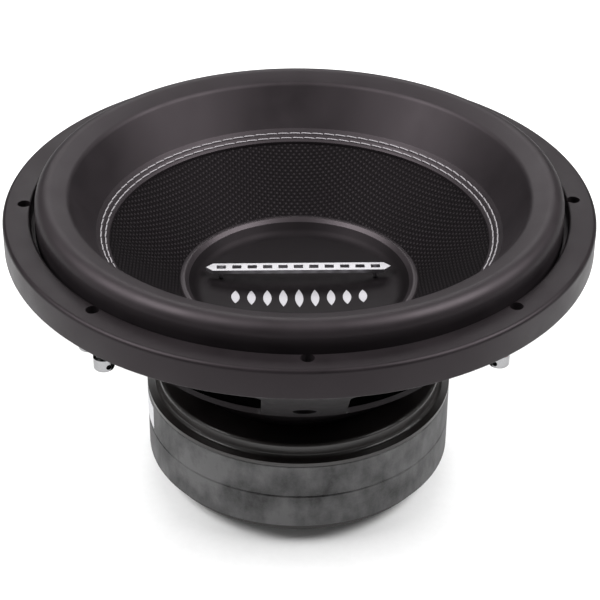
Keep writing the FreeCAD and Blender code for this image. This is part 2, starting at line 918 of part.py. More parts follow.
screen_disc = primitive("Part::Cylinder", "screen_disc", Radius=S.screen_radius, Height=S.screen_thickness)
drive(screen_disc, "Placement.Base.z", S.screen_recess_top - S.screen_thickness)
screen_holes = []
for ring in range(SCREEN_HOLE_RINGS):
    hole_count = max(1, SCREEN_HOLES_MORE_EACH_RING * ring)
    reach = ring * SIZES["screen_hole_pitch"]
    for step in range(hole_count):
        angle = 2 * math.pi * step / hole_count
        hole = primitive(
            "Part::Cylinder",
            f"screen_hole_{ring}_{step}",
            Radius=S.screen_hole_radius,
            Height=S.screen_thickness * 3,
        )
        hole.Placement.Base = Vector(
            reach * math.cos(angle),
            reach * math.sin(angle),
            SIZES["screen_recess_top"] - 2 * SIZES["screen_thickness"],
        )
        screen_holes.append(hole)
keep("vent_screen", cut("vent_screen", screen_disc, joined("screen_holes", screen_holes)))

label_outside = primitive(
    "Part::Cylinder",
    "label_outside",
    Radius=S.magnet_radius + S.label_thickness,
    Height=S.label_top - S.label_bottom,
    Angle=S.label_angle,
)
label_inside = primitive(
    "Part::Cylinder", "label_inside", Radius=S.magnet_radius, Height=S.label_top - S.label_bottom
)
for cylinder in (label_outside, label_inside):
    drive(cylinder, "Placement.Base.z", S.label_bottom)
magnet_label = cut("magnet_label", label_outside, label_inside)
magnet_label.Placement = spoke_turn(LABEL_START_AZIMUTH)
keep("magnet_label", magnet_label)

foot_screw_shapes = []
for screw in range(FOOT_SCREW_COUNT):
    angle = math.radians(screw * 360.0 / FOOT_SCREW_COUNT)
    foot = Vector(
        SIZES["foot_screw_circle_radius"] * math.cos(angle),
        SIZES["foot_screw_circle_radius"] * math.sin(angle),
        SIZES["foot_ring_top"],
    )
    head = Part.makeCylinder(SIZES["foot_screw_head_radius"], SIZES["foot_screw_head_height"], foot, Z_AXIS)
    shank = Part.makeCylinder(SIZES["foot_screw_radius"], SIZES["foot_screw_length"], foot, -Z_AXIS)
    foot_screw_shapes.append(head.fuse(shank).removeSplitter())
keep("foot_screws", feature_from("foot_screws", Part.makeCompound(foot_screw_shapes)))

# Terminals behind the spokes to the left and right of the front one
block_screw_shapes = []
tab_shapes = []
leads = {}
for side, azimuth in TERMINAL_SIDES.items():
    wedge = doc.addObject("PartDesign::Body", f"wedge_{side}")
    wedge_outline = new_sketch(wedge, f"wedge_outline_{side}", "XZ_Plane")
    draw_polygon(
        wedge_outline,
        [
            (S.block_inner_distance, S.block_bottom),
            (S.block_outer_distance, S.block_bottom),
            (S.block_outer_distance, S.block_top),
            (S.block_inner_distance, S.block_top),
        ],
    )
    wedge_pad = wedge.newObject("PartDesign::Pad", f"wedge_pad_{side}")
    wedge_pad.Profile = wedge_outline
    wedge_pad.Midplane = True
    drive(wedge_pad, "Length", S.block_width)
    wedge.Tip = wedge_pad
    wedge.Placement = spoke_turn(azimuth)
    doc.recompute()
    cup_face = primitive(
        "Part::Cone",
        f"cup_face_{side}",
        Radius1=S.seat_outer_radius,
        Radius2=S.cup_wall_radius,
        Height=S.cup_wall_bottom - S.seat_outer_height,
    )
    drive(cup_face, "Placement.Base.z", S.seat_outer_height)
    pieces = [cut(f"wedge_on_cup_{side}", wedge, cup_face)]
    bores = [
        primitive(
            "Part::Cylinder",
            f"screw_bore_{side}",
            standing_at(azimuth, SIZES["post_circle_radius"], SIZES["block_bottom"]),
            Radius=S.block_screw_hole_radius,
            Height=S.boss_top - S.block_bottom,
        )
    ]
    for colour, step in TERMINAL_POSTS.items():
        foot = standing_at(azimuth + step, SIZES["post_circle_radius"], SIZES["block_bottom"])
        for purpose, radius, group in (("boss", S.boss_radius, pieces), ("bore", S.post_hole_radius, bores)):
            cylinder = primitive(
                "Part::Cylinder",
                f"{purpose}_{side}_{colour}",
                foot,
                Radius=radius,
                Height=S.boss_top - S.block_bottom,
            )
            group.append(cylinder)
    solid_block = joined(f"solid_block_{side}", pieces)
    block_bores = joined(f"block_bores_{side}", bores)
    keep(f"terminal_block_{side}", cut(f"terminal_block_{side}", solid_block, block_bores))

    underside = standing_at(azimuth, SIZES["post_circle_radius"], SIZES["block_bottom"])
    shank = Part.makeCylinder(SIZES["block_screw_radius"], SIZES["block_screw_top"] - SIZES["block_bottom"])
    head = Part.makeCylinder(
        SIZES["block_screw_head_radius"], SIZES["block_screw_head_height"], Vector(0, 0, 0), -Z_AXIS
    )
    screw_shape = shank.fuse(head).removeSplitter()
    block_screw_shapes.append(moved(screw_shape, underside))

    for colour, step in TERMINAL_POSTS.items():
        here = standing_at(azimuth + step, SIZES["post_circle_radius"])
        name = f"{side}_{colour}"

        post = turned_body(
            f"post_{name}",
            [
                (0, S.post_bottom),
                (S.post_radius, S.post_bottom),
                (S.post_radius, S.post_top),
                (0, S.post_top),
            ],
        )
        drill(
            post,
            f"post_wire_hole_{name}",
            0,
            S.post_wire_hole_height,
            S.post_wire_hole_radius,
            role="XZ_Plane",
        )
        post.Placement = here
        keep(f"post_{name}", post)

        collar = turned_body(
            f"collar_{name}",
            [
                (S.post_hole_radius, S.block_bottom),
                (S.collar_flange_radius, S.block_bottom),
                (S.collar_flange_radius, S.collar_flange_bottom),
                (S.collar_sleeve_radius, S.collar_flange_bottom),
                (S.collar_sleeve_radius, S.collar_bottom),
                (S.collar_bore_radius, S.collar_bottom),
                (S.collar_bore_radius, S.collar_flange_bottom),
                (S.post_hole_radius, S.collar_flange_bottom),
            ],
        )
        collar.Placement = here
        keep(f"collar_{name}", collar)

        push_cap = turned_body(
            f"push_cap_{name}",
            [
                (S.push_cap_bore_radius, S.push_cap_top),
                (S.push_cap_radius, S.push_cap_top),
                (S.push_cap_radius, S.push_cap_bottom),
                (0, S.push_cap_bottom),
                (0, S.push_cap_floor),
                (S.push_cap_post_bore_radius, S.push_cap_floor),
                (S.push_cap_post_bore_radius, S.push_cap_shoulder),
                (S.push_cap_bore_radius, S.push_cap_shoulder),
            ],
        )
        round_edges(
            push_cap,
            f"push_cap_round_{name}",
            S.push_cap_round,
            [(S.push_cap_radius, S.push_cap_bottom)],
        )
        drill(
            push_cap,
            f"push_cap_wire_hole_{name}",
            0,
            S.push_cap_wire_hole_height,
            S.push_cap_wire_hole_radius,
            role="XZ_Plane",
        )
        push_cap.Placement = here
        keep(f"push_cap_{name}", push_cap)

        wire_and_gap = SIZES["spring_wire_radius"] + SIZES["spring_clearance"]
        spring_top = SIZES["collar_flange_bottom"] - wire_and_gap
        spring_bottom = SIZES["push_cap_shoulder"] + wire_and_gap
        coil = coil_spring(
            SIZES["spring_radius"],
            SIZES["spring_wire_radius"],
            int(SIZES["spring_turns"]),
            spring_top - spring_bottom,
        )
        spring = feature_from(f"push_spring_{name}", coil)
        spring.Placement = standing_at(azimuth + step, SIZES["post_circle_radius"], spring_bottom)
        keep(f"push_spring_{name}", spring)

        plate = Part.makeBox(
            SIZES["tab_length"],
            SIZES["tab_width"],
            SIZES["tab_thickness"],
            Vector(SIZES["tab_inner_distance"], -SIZES["tab_width"] / 2, SIZES["tab_bottom"]),
        )
        post_hole = Part.makeCylinder(
            SIZES["post_hole_radius"],
            SIZES["tab_thickness"] * 3,
            Vector(SIZES["post_circle_radius"], 0, SIZES["tab_bottom"] - SIZES["tab_thickness"]),
        )
        tab_shapes.append(moved(plate.cut(post_hole), spoke_turn(azimuth + step)))

        lead = feature_from(f"lead_{name}", lead_shape())
        lead.Placement = spoke_turn(azimuth + step)
        leads[f"lead_{name}"] = lead

keep("terminal_screws", feature_from("terminal_screws", Part.makeCompound(block_screw_shapes)))
keep("solder_tabs", feature_from("solder_tabs", Part.makeCompound(tab_shapes)))
for label, lead in leads.items():
    keep(label, lead)

# Every piece must be sound before anything is written
doc.recompute()
for made in doc.Objects:
    if "Invalid" in made.State or "Error" in made.State:
        raise RuntimeError(f"{made.Label} is in state {made.State}")
for label, made in nodes.items():
    if made.Shape.isNull() or not made.Shape.isValid() or not made.Shape.Solids:
        raise RuntimeError(f"{label} is not a sound solid")

os.makedirs(OUT, exist_ok=True)
for label, made in nodes.items():
    made.Shape.exportStep(f"{OUT}/{label}.step")
    box = made.Shape.BoundBox
    print(
        f"{label}: {len(made.Shape.Solids)} solids, x {box.XMin:.1f} to {box.XMax:.1f}, "
        f"y {box.YMin:.1f} to {box.YMax:.1f}, z {box.ZMin:.1f} to {box.ZMax:.1f}"
    )
print(f"{len(nodes)} pieces written")
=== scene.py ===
import json
import math
import random

import bmesh
import bpy
import numpy as np
from mathutils import Matrix, Vector


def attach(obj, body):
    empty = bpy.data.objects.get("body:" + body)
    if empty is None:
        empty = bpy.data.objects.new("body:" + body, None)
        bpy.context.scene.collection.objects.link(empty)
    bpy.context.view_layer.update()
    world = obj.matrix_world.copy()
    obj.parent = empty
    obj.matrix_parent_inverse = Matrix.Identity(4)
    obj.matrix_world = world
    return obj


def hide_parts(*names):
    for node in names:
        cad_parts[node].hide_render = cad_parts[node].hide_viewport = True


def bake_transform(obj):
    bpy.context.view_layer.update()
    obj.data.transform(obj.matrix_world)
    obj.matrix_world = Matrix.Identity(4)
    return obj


# A 12-inch car subwoofer driver standing on its magnet. The CAD frame's origin is the centre of the
# flange's underside, +Z points out of the cone and -Y is the front. Blender works in metres; sizes here
# are in millimetres unless they say otherwise.

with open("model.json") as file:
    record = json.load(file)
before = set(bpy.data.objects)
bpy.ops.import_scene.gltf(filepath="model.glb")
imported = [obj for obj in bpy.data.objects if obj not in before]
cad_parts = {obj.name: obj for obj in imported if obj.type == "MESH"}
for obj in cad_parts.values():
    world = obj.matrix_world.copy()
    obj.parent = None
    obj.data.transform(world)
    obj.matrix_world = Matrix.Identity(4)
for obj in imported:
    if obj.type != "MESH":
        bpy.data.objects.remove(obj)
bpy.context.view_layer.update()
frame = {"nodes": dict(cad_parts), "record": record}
nodes = frame["nodes"]

MM = 0.001
WELD_DISTANCE = 1e-7
RING_SEGMENTS = 320
ROUND_SEGMENTS = 240
DRILL_REACH = 40.0
DRILL_SIDES = 40
SHARP_ANGLE = 40.0
# Terminal blocks and the posts on them, in degrees round from the front and from the block
TERMINAL_SIDES = {"left": -63.7, "right": 63.7}
TERMINAL_POSTS = {"black": 4.9, "red": -4.9}

# Trim ring
RING_OUTER_RADIUS = 159.0
RING_INNER_RADIUS = 144.2
RING_TOP = 17.0
RING_SKIRT_BOTTOM = 0.3
RING_OUTER_ROUNDING = 2.3
RING_INNER_ROUNDING = 1.6
RING_POCKET_RADIUS = 152.5
RING_POCKET_TOP = 9.4
FLANGE_RADIUS = 155.8
FLANGE_TOP = 7.0
BOLT_CIRCLE_RADIUS = 148.0
BOLT_COUNT = 8
BOLT_HOLE_RADIUS = 3.5

# Surround
SURROUND_SKIN = 1.8
SURROUND_FOOT_RADIUS = 152.0
SURROUND_FOOT_BOTTOM = 7.3
SURROUND_WALL_RADIUS = 141.5
SURROUND_OUTER_CORNER = (141.5, 32.9)
SURROUND_INNER_CORNER = (123.5, 26.6)
SURROUND_KNEE = (110.0, 3.65)
SURROUND_BACK_KNEE = (111.7, 3.08)
SURROUND_BACK_INNER_CORNER = (124.7, 25.1)
SURROUND_BACK_OUTER_CORNER = (139.7, 30.35)
LEDGE_EDGE = (103.0, -1.56)
LEDGE_BACK_EDGE = (103.0, -3.31)
SURROUND_HOLE_RADIUS = 3.8

# Seams on the ledge: (radius, number of stitches)
SEAMS = {"outer": (107.5, 100), "inner": (105.1, 97)}
THREAD_RADIUS = 0.33
GROOVE_DEPTH = 0.24
GROOVE_HALF_WIDTH = 0.85
GROOVE_ROUNDING = 0.8
GROOVE_EDGE_ROUNDING = 0.3
STITCH_STEPS = 12
STITCH_RISE = 0.28
STITCH_DIVE = 0.75
STITCH_SPAN = (0.93, 0.97)
STITCH_SLANT = (0.05, 0.17)
STITCH_WANDER = 0.02

# Cone
CONE_RIM = (111.0, 2.56)
CONE_AT_LEDGE = (103.4, -3.02)
CONE_BEND = (65.7, -30.7)
CONE_NECK = (39.2, -53.0)
CONE_WALL = 1.8
WEAVE_PITCH = 1.7
WEAVE_RELIEF = 0.14
WEAVE_ROW_SPACING = 0.6
WEAVE_SEGMENTS = 1100

# Spider
SPIDER_HEIGHT = -58.5
SPIDER_CLOTH = 0.9
SPIDER_INNER_RADIUS = 38.9
SPIDER_COLLAR_RADIUS = 42.5
SPIDER_LANDING_RADIUS = 80.5
SPIDER_OUTER_RADIUS = 87.6
SPIDER_WAVE_HEIGHT = 2.2
SPIDER_WAVES = 5

# Terminals and leads: (distance from the centre line, height)
POST_CIRCLE_RADIUS = 122.0
SPRING_TOP = -37.02
SPRING_BOTTOM = -41.68
SPRING_RADIUS = 2.4
SPRING_WIRE_RADIUS = 0.22
SPRING_TURNS = 5
SPRING_STEPS_PER_TURN = 28
BRAID_RADIUS = 0.744
BRAID_POINT_SPACING = 0.35
LEAD_ARC_RADIUS = 67.4
LEAD_ARC_ANGLE = 60.0
LEAD_FLAT_DISTANCE = 58.2
LEAD_HEIGHT = -55.0
LEAD_END_DISTANCE = 40.1
LEAD_STILL_RADIUS = 112.0
LEAD_MOVING_RADIUS = 43.0


# Mesh helpers


def mesh_object(name, points, faces, look, smooth_angle=SHARP_ANGLE):
    """A mesh object from points in millimetres, shaded smooth but for edges sharper than the angle."""
    mesh = bpy.data.meshes.new(name)
    mesh.from_pydata([Vector(point) * MM for point in points], [], faces)
    made = bmesh.new()
    made.from_mesh(mesh)
    bmesh.ops.remove_doubles(made, verts=made.verts, dist=WELD_DISTANCE)
    bmesh.ops.recalc_face_normals(made, faces=made.faces)
    made.to_mesh(mesh)
    made.free()
    mesh.polygons.foreach_set("use_smooth", [True] * len(mesh.polygons))
    mesh.set_sharp_from_angle(angle=math.radians(smooth_angle))
    mesh.materials.append(look)
    piece = bpy.data.objects.new(name, mesh)
    bpy.context.scene.collection.objects.link(piece)
    return piece


def rounded_line(corners, closed=False, step=9.0):
    """The points of an outline of (radius, height, rounding) corners, with its corners rounded."""
    points = []
    for index, (across, up, rounding) in enumerate(corners):
        here = Vector((across, up))
        at_end = not closed and index in (0, len(corners) - 1)
        if at_end or rounding == 0:
            points.append(here)
            continue
        before = (Vector(corners[index - 1][:2]) - here).normalized()
        after = (Vector(corners[(index + 1) % len(corners)][:2]) - here).normalized()
        half_angle = before.angle(after) / 2
        reach = rounding / math.tan(half_angle)
        centre = here + (before + after).normalized() * (rounding / math.sin(half_angle))
        first = here + before * reach - centre
        last = here + after * reach - centre
        start = math.atan2(first.y, first.x)
        sweep = (math.atan2(last.y, last.x) - start + math.pi) % (2 * math.pi) - math.pi
        steps = max(2, math.ceil(abs(math.degrees(sweep)) / step))
        for number in range(steps + 1):
            angle = start + sweep * number / steps
            points.append(centre + Vector((math.cos(angle), math.sin(angle))) * rounding)
    return points


def evenly_spaced(line, spacing):
    """The same open line with more points, none further apart than the spacing."""
    points = [line[0]]
    for start, end in zip(line, line[1:]):
        count = max(1, math.ceil((end - start).length / spacing))
        points += [start.lerp(end, number / count) for number in range(1, count + 1)]
    return points


def lathe(outline, segments, relief=None):
    """Points and faces of a closed outline turned round Z. relief(x, y, row) lifts the points."""
    turn = np.arange(segments) * 2 * math.pi / segments
    radii = np.array([point[0] for point in outline])[:, None]
    heights = np.array([point[1] for point in outline])[:, None]
    x = radii * np.cos(turn)
    y = radii * np.sin(turn)
    z = heights + np.zeros(segments)
    if relief is not None:
        z = z + relief(x, y)
    points = np.stack([x, y, z], axis=-1).reshape(-1, 3)
    faces = []
    rows = len(outline)
    for row in range(rows):
        below = row * segments
        above = ((row + 1) % rows) * segments
        for column in range(segments):
            beside = (column + 1) % segments
            faces.append((below + column, below + beside, above + beside, above + column))
    return points, faces


def tube_along(line, radius, sides, lobes=0, lobe_depth=0.0, twist=0.0):
    """Points and faces of a capped tube along a line of points, with lobes that twist as rope does."""
    points = []
    faces = []
    travelled = 0.0
    up = Vector((0.0, 0.0, 1.0))
    for index, here in enumerate(line):
        before = line[max(index - 1, 0)]
        after = line[min(index + 1, len(line) - 1)]
        forward = (after - before).normalized()
        sideways = forward.cross(up)
        sideways = sideways.normalized() if sideways.length > 0.05 else Vector((1.0, 0.0, 0.0))
        normal = sideways.cross(forward)
        if index:
            travelled += (here - before).length
        for side in range(sides):
            angle = 2 * math.pi * side / sides
            swell = 1 + lobe_depth * math.cos(lobes * (angle - twist * travelled))
            points.append(
                here + (sideways * math.cos(angle) + normal * math.sin(angle)) * radius * swell
            )
    for index in range(len(line) - 1):
        for side in range(sides):
            beside = (side + 1) % sides
            here, there = index * sides, (index + 1) * sides
            faces.append((here + side, here + beside, there + beside, there + side))
    faces.append(tuple(range(sides)))
    last = (len(line) - 1) * sides
    faces.append(tuple(range(last + sides - 1, last - 1, -1)))
    return points, faces


def many(parts):
    """Several (points, faces) pairs as one pair."""
    points = []
    faces = []
    for some_points, some_faces in parts:
        start = len(points)
        points += list(some_points)
        faces += [tuple(corner + start for corner in face) for face in some_faces]
    return points, faces


def drill(piece, radius, places):
    """Cut round upright holes through the piece at these (x, y) places."""
    bits = []
    for x, y in places:
        line = [Vector((x, y, -DRILL_REACH)), Vector((x, y, DRILL_REACH))]
        bits.append(tube_along(line, radius, DRILL_SIDES))
    drills = mesh_object("drills", *many(bits), piece.data.materials[0])
    cut = piece.modifiers.new("holes", "BOOLEAN")
    cut.operation = "DIFFERENCE"
    cut.solver = "EXACT"
    cut.object = drills
    finished = piece.evaluated_get(bpy.context.evaluated_depsgraph_get())
    piece.data = bpy.data.meshes.new_from_object(finished)
    piece.data.set_sharp_from_angle(angle=math.radians(SHARP_ANGLE))
    piece.modifiers.clear()
    bpy.data.objects.remove(drills)


def bend(piece, share):
    """Bake the piece's transform and work out share(points), how far each point would follow the moving body;
    nothing applies the shares to the piece.
    """
    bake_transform(piece)
    points = np.array([vertex.co for vertex in piece.data.vertices]) / MM
    weights = np.clip(share(points), 0, 1).astype(np.float32)


def from_centre(points):
    """Each point's distance from the Z axis."""
    return np.hypot(points[:, 0], points[:, 1])


def around_axis(azimuth, outwards, height, sideways=0.0):
    """A point at this azimuth from the front, given by its distance out from the Z axis and its height."""
    turn = Matrix.Rotation(math.radians(azimuth - 90.0), 3, "Z")
    return turn @ Vector((outwards, sideways, height))


# Materials


class Look:
    """A procedural material: one Principled shader and the textures that feed it."""

    def __init__(self, roughness=0.5, metallic=0.0, specular=0.5, coat=0.0, sheen=0.0, tint=(1.0, 1.0, 1.0)):
        self.material = bpy.data.materials.new("look")
        self.material.use_nodes = True
        self.tree = self.material.node_tree
        self.shader = self.tree.nodes["Principled BSDF"]
        self.shader.inputs["Roughness"].default_value = roughness
        self.shader.inputs["Metallic"].default_value = metallic
        self.shader.inputs["Specular IOR Level"].default_value = specular
        self.shader.inputs["Specular Tint"].default_value = (*tint, 1.0)
        self.shader.inputs["Coat Weight"].default_value = coat
        self.shader.inputs["Coat Roughness"].default_value = 0.15
        self.shader.inputs["Sheen Weight"].default_value = sheen
        self.place = self.tree.nodes.new("ShaderNodeTexCoord").outputs["Object"]
        self.relief = None

    def feed(self, socket, value):
        if isinstance(value, bpy.types.NodeSocket):
            self.tree.links.new(value, socket)
        else:
            socket.default_value = value

    def math(self, operation, first, second=0.0, third=0.0):
        node = self.tree.nodes.new("ShaderNodeMath")
        node.operation = operation
        for socket, value in zip(node.inputs, (first, second, third)):
            self.feed(socket, value)
        return node.outputs[0]

    def vector(self, operation, first, second):
        node = self.tree.nodes.new("ShaderNodeVectorMath")
        node.operation = operation
        self.feed(node.inputs[0], first)
        self.feed(node.inputs[1], second)
        return node.outputs["Value"] if operation == "LENGTH" else node.outputs["Vector"]

    def parts(self, vector):
        node = self.tree.nodes.new("ShaderNodeSeparateXYZ")
        self.feed(node.inputs[0], vector)
        return node.outputs

    def joined(self, x, y, z):
        node = self.tree.nodes.new("ShaderNodeCombineXYZ")
        for socket, value in zip(node.inputs, (x, y, z)):
            self.feed(socket, value)
        return node.outputs[0]

    def noise(self, grain, detail=3.0, place=None):
        """Noise with grains of about this many millimetres."""
        node = self.tree.nodes.new("ShaderNodeTexNoise")
        self.feed(node.inputs["Vector"], place or self.place)
        node.inputs["Scale"].default_value = 1 / (grain * MM)
        node.inputs["Detail"].default_value = detail
        return node.outputs[0]

    def spread(self, value, low, high, from_low=0.3, from_high=0.7):
        """The value stretched from its usual range to a new one."""
        node = self.tree.nodes.new("ShaderNodeMapRange")
        for socket, amount in zip(node.inputs, (value, from_low, from_high, low, high)):
            self.feed(socket, amount)
        return node.outputs[0]

    def blend(self, share, first, second):
        node = self.tree.nodes.new("ShaderNodeMix")
        node.data_type = "RGBA"
        sockets = [socket for socket in node.inputs if socket.enabled]
        for socket, value in zip(sockets, (share, first, second)):
            self.feed(socket, (*value, 1.0) if isinstance(value, tuple) else value)
        return next(socket for socket in node.outputs if socket.enabled)

    def colour(self, value):
        self.feed(self.shader.inputs["Base Color"], value)

    def roughness(self, value):
        self.feed(self.shader.inputs["Roughness"], value)

    def bump(self, height, depth):
        """Raise the surface by up to this many millimetres where the height is one."""
        node = self.tree.nodes.new("ShaderNodeBump")
        node.inputs["Distance"].default_value = depth * MM
        self.feed(node.inputs["Height"], height)
        if self.relief is not None:
            self.feed(node.inputs["Normal"], self.relief)
        self.relief = node.outputs["Normal"]
        self.feed(self.shader.inputs["Normal"], self.relief)


def grainy(dark, light, roughness, grain, relief, patches=22.0, **shader):
    """A surface whose colour, gloss and relief vary with fine grain and with broad patches."""
    look = Look(**shader)
    fine = look.noise(grain)
    broad = look.noise(patches, detail=5.0)
    tone = look.math("MULTIPLY_ADD", fine, 0.5, look.math("MULTIPLY", broad, 0.5))
    look.colour(look.blend(look.spread(tone, 0.0, 1.0), dark, light))
    look.roughness(look.spread(broad, *roughness))
    look.bump(fine, relief)
    return look


def turned(dark, light, roughness, groove, relief, **shader):
    """A surface with the fine rings that a lathe leaves, over faint cloudy staining."""
    look = Look(**shader)
    x, y, z = look.parts(look.place)
    reach = look.vector("LENGTH", look.joined(x, y, 0.0), (0.0, 0.0, 0.0))
    rings = look.noise(groove, detail=4.0, place=look.joined(reach, 0.0, z))
    clouds = look.noise(14.0, detail=5.0)
    tone = look.math("MULTIPLY_ADD", rings, 0.6, look.math("MULTIPLY", clouds, 0.4))
    look.colour(look.blend(look.spread(tone, 0.0, 1.0), dark, light))
    look.roughness(look.spread(clouds, *roughness))
    look.bump(rings, relief)
    return look


def pressed(dark, light, roughness, **shader):
    """Sintered ferrite: blotches of dust and upright drag marks from the press over a fine grain."""
    look = Look(**shader)
    x, y, z = look.parts(look.place)
    grain = look.noise(1.1)
    blotches = look.noise(27.0, detail=5.0)
    drags = look.noise(6.0, detail=4.0, place=look.joined(x, y, look.math("MULTIPLY", z, 0.5)))
    soft = look.math("MULTIPLY_ADD", drags, 0.25, look.math("MULTIPLY", grain, 0.08))
    tone = look.math("MULTIPLY_ADD", blotches, 0.67, soft)
    look.colour(look.blend(look.spread(tone, 0.0, 1.0, 0.33, 0.6), dark, light))
    look.roughness(look.spread(blotches, *roughness))
    look.bump(grain, 0.07)
    look.bump(drags, 0.04)
    return look


def weave_wave(look, pitch):
    """A value that is 1 on the yarns that run one way and -1 on the yarns that cross over them."""
    x, y, _ = look.parts(look.place)
    step = math.pi / (pitch * MM)
    across = look.math("SINE", look.math("MULTIPLY", x, step))
    along = look.math("SINE", look.math("MULTIPLY", y, step))
    return look.math("MULTIPLY", across, along)


def woven(dark, light, roughness, pitch, relief, crown=(0.45, 0.95), **shader):
    """Plain-woven cloth: the crowns of the yarns that pass over on top get a painted highlight in their
    colour.
    """
    look = Look(**shader)
    wave = weave_wave(look, pitch)
    fibre = look.noise(pitch * 0.2, detail=4.0)
    cloud = look.noise(28.0, detail=4.0)
    # Painted highlight: the crowns are coloured lighter, standing in for the light they catch; fibre noise
    # and broad clouds vary it.
    crowns = look.spread(wave, 0.0, 1.0, *crown)
    painted_crown_highlight = look.math("MULTIPLY", crowns, look.spread(fibre, 0.55, 1.0))
    painted_crown_highlight_clouded = look.math("MULTIPLY", painted_crown_highlight, look.spread(cloud, 0.75, 1.1))
    look.colour(look.blend(painted_crown_highlight_clouded, dark, light))
    look.roughness(look.spread(fibre, *roughness))
    look.bump(look.math("ABSOLUTE", wave), relief)
    look.bump(fibre, relief * 0.3)
    return look


WARM = (1.0, 0.86, 0.93)
LOOKS = {
    "frame_paint": grainy(
        (0.0028, 0.0024, 0.0026), (0.007, 0.006, 0.0065), (0.42, 0.6), 0.55, 0.06, specular=0.11, tint=WARM
    ),
    "trim_rubber": grainy(
        (0.0052, 0.0042, 0.0047),
        (0.0104, 0.0084, 0.0094),
        (0.42, 0.54),
        0.4,
        0.035,
        specular=0.235,
        tint=WARM,
    ),
    "surround_rubber": grainy(
        (0.0058, 0.0047, 0.0053), (0.0108, 0.0088, 0.0099), (0.46, 0.56), 0.3, 0.02, specular=0.36, tint=WARM
    ),
    # The lighter colour is a painted highlight on the crowns of the weave.
    "cone_weave": woven(
        (0.0016, 0.0013, 0.0015),
        (0.0232, 0.0203, 0.0218),
        (0.45, 0.7),
        WEAVE_PITCH,
        0.1,
        crown=(0.32, 0.85),
        specular=0.07,
        tint=WARM,
    ),
    "cap_rim": grainy(
        (0.0075, 0.0062, 0.007), (0.0125, 0.0104, 0.0115), (0.38, 0.48), 0.35, 0.015, specular=0.42, tint=WARM
    ),
    "cap_dish": grainy(
        (0.0028, 0.0023, 0.0026), (0.005, 0.0042, 0.0046), (0.46, 0.56), 0.5, 0.006, specular=0.13, tint=WARM
    ),
    "badge_chrome": grainy(
        (0.42, 0.41, 0.43), (0.58, 0.57, 0.59), (0.3, 0.42), 0.35, 0.008, metallic=1.0
    ),
    "printed_silver": grainy(
        (0.34, 0.33, 0.35), (0.5, 0.49, 0.51), (0.42, 0.56), 0.25, 0.01, metallic=0.5
    ),
    "former_aluminium": turned(
        (0.45, 0.45, 0.47), (0.66, 0.66, 0.68), (0.3, 0.45), 0.5, 0.01, metallic=1.0
    ),
    "copper": turned(
        (0.42, 0.16, 0.07), (0.68, 0.3, 0.14), (0.22, 0.36), 0.35, 0.12, metallic=1.0, coat=0.4
    ),
    "glue_ring": grainy((0.006, 0.006, 0.006), (0.014, 0.014, 0.014), (0.16, 0.32), 2.5, 0.12),
    # The lighter colour is a painted highlight on the crowns of the weave.
    "spider_cloth": woven(
        (0.006, 0.0056, 0.006), (0.03, 0.028, 0.03), (0.7, 0.9), 0.9, 0.12, specular=0.2, sheen=0.1
    ),
    "black_steel": turned(
        (0.011, 0.0095, 0.0092), (0.023, 0.0195, 0.0185), (0.3, 0.4), 0.4, 0.008, specular=0.45, coat=0.12
    ),
    "ferrite": pressed(
        (0.0075, 0.0073, 0.0077), (0.118, 0.1165, 0.118), (0.5, 0.75), specular=0.3
    ),
    "screen_steel": grainy((0.010, 0.010, 0.010), (0.022, 0.021, 0.021), (0.35, 0.5), 0.4, 0.02),
    "label_foil": turned(
        (0.5, 0.5, 0.52), (0.7, 0.7, 0.72), (0.24, 0.4), 0.3, 0.006, metallic=1.0
    ),
    "screw_steel": grainy(
        (0.018, 0.017, 0.017), (0.04, 0.038, 0.037), (0.26, 0.42), 0.4, 0.015, metallic=0.8
    ),
    "block_plastic": grainy(
        (0.006, 0.0057, 0.006), (0.013, 0.0123, 0.013), (0.4, 0.56), 0.4, 0.03, specular=0.35
    ),
    "tab_brass": grainy(
        (0.52, 0.42, 0.24), (0.7, 0.6, 0.38), (0.25, 0.4), 0.5, 0.012, metallic=1.0
    ),
    "terminal_chrome": turned(
        (0.23, 0.23, 0.235), (0.33, 0.33, 0.335), (0.12, 0.22), 0.4, 0.003, metallic=1.0
    ),
    "collar_black": grainy((0.008, 0.008, 0.008), (0.016, 0.016, 0.016), (0.3, 0.45), 0.4, 0.015),
    "collar_red": grainy((0.36, 0.012, 0.012), (0.55, 0.03, 0.024), (0.3, 0.45), 0.4, 0.015),
    "spring_steel": grainy(
        (0.4, 0.4, 0.41), (0.62, 0.62, 0.63), (0.2, 0.34), 0.3, 0.006, metallic=1.0
    ),
    "tinsel": grainy(
        (0.4, 0.29, 0.2), (0.68, 0.54, 0.42), (0.28, 0.44), 0.25, 0.03, metallic=1.0
    ),
}


def thread_look():
    """Spun sewing thread: pale, slightly fluffy, with darker lines between its plies."""
    look = Look(roughness=0.6, specular=0.3, sheen=0.25)
    fluff = look.noise(0.35, detail=4.0)
    wear = look.noise(9.0, detail=3.0)
    tone = look.math("MULTIPLY", look.spread(fluff, 0.6, 1.0), look.spread(wear, 0.8, 1.0))
    look.colour(look.blend(tone, (0.09, 0.085, 0.09), (0.42, 0.395, 0.415)))
    look.roughness(look.spread(fluff, 0.45, 0.7))
    look.bump(fluff, 0.06)
    return look


LOOKS["thread"] = thread_look()
LOOKS["cap_plastic"] = LOOKS["cap_rim"]
for look_name, look in LOOKS.items():
    look.material.name = look_name
SLOT_OF = {row["node"]: row["material_slot"] for row in frame["record"]["subparts"]}


def look_named(name):
    return LOOKS[name].material


# CAD pieces that show as they are get their finish
for name, node in nodes.items():
    finish = SLOT_OF[name]
    if not node.material_slots:
        node.data.materials.append(look_named(finish))
    for slot in node.material_slots:
        slot.material = look_named(finish)

